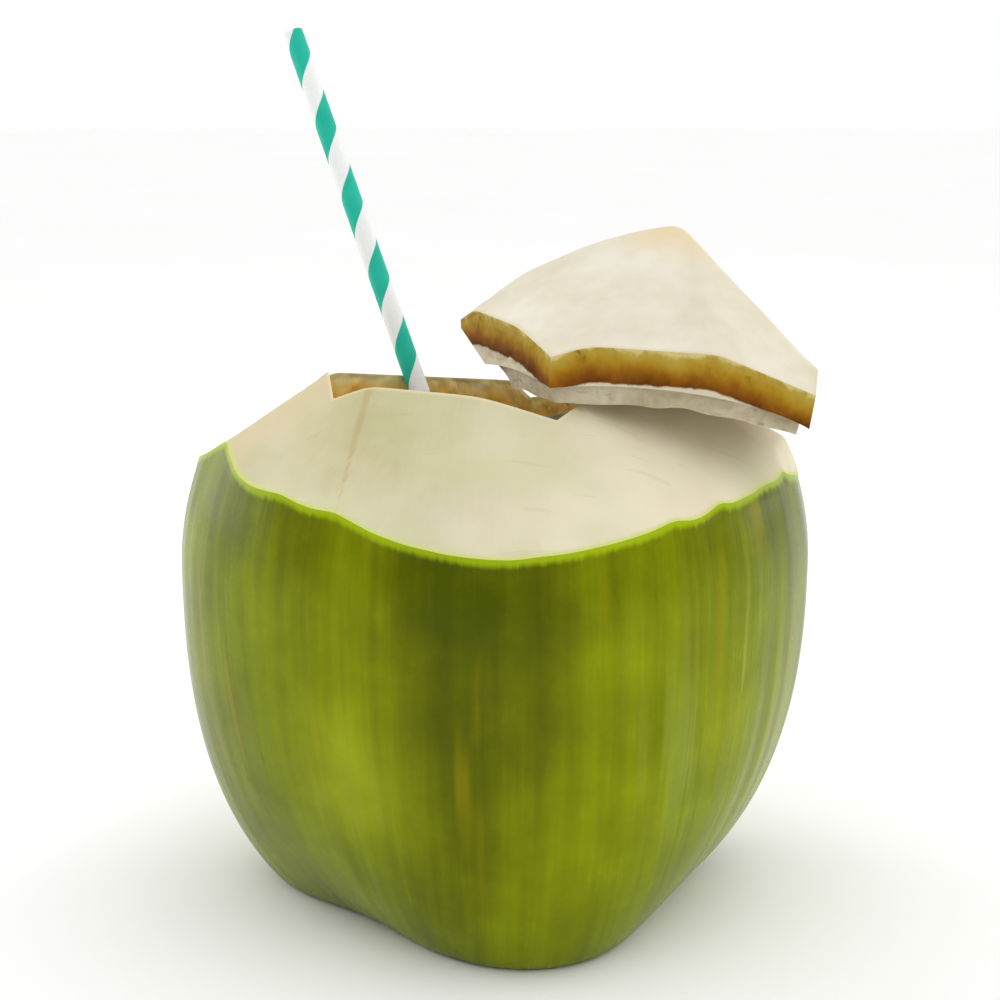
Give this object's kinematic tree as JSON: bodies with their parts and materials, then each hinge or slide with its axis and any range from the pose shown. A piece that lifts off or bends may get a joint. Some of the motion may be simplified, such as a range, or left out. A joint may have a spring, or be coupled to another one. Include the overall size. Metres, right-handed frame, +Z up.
{
  "type": "green coconut",
  "caption": "Green drinking coconut with its top trimmed and cut open, the lid lying on the mouth and a striped paper straw.",
  "frame": {"origin": "middle of the flat spot that the coconut stands on, on its upright axis", "axes": "+Z up through the mouth, -Y towards the front, where the mouth's rim has its notch, +X towards the side where the lid lies"},
  "size_m": [0.1809, 0.18, 0.2467],
  "materials": {
    "green_skin": "waxy",
    "cut_husk": "matt",
    "striped_paper": "matt"
  },
  "bodies": {
    "root": {"coconut": "green_skin", "lid": "cut_husk", "straw": "striped_paper"}
  },
  "joints": []
}
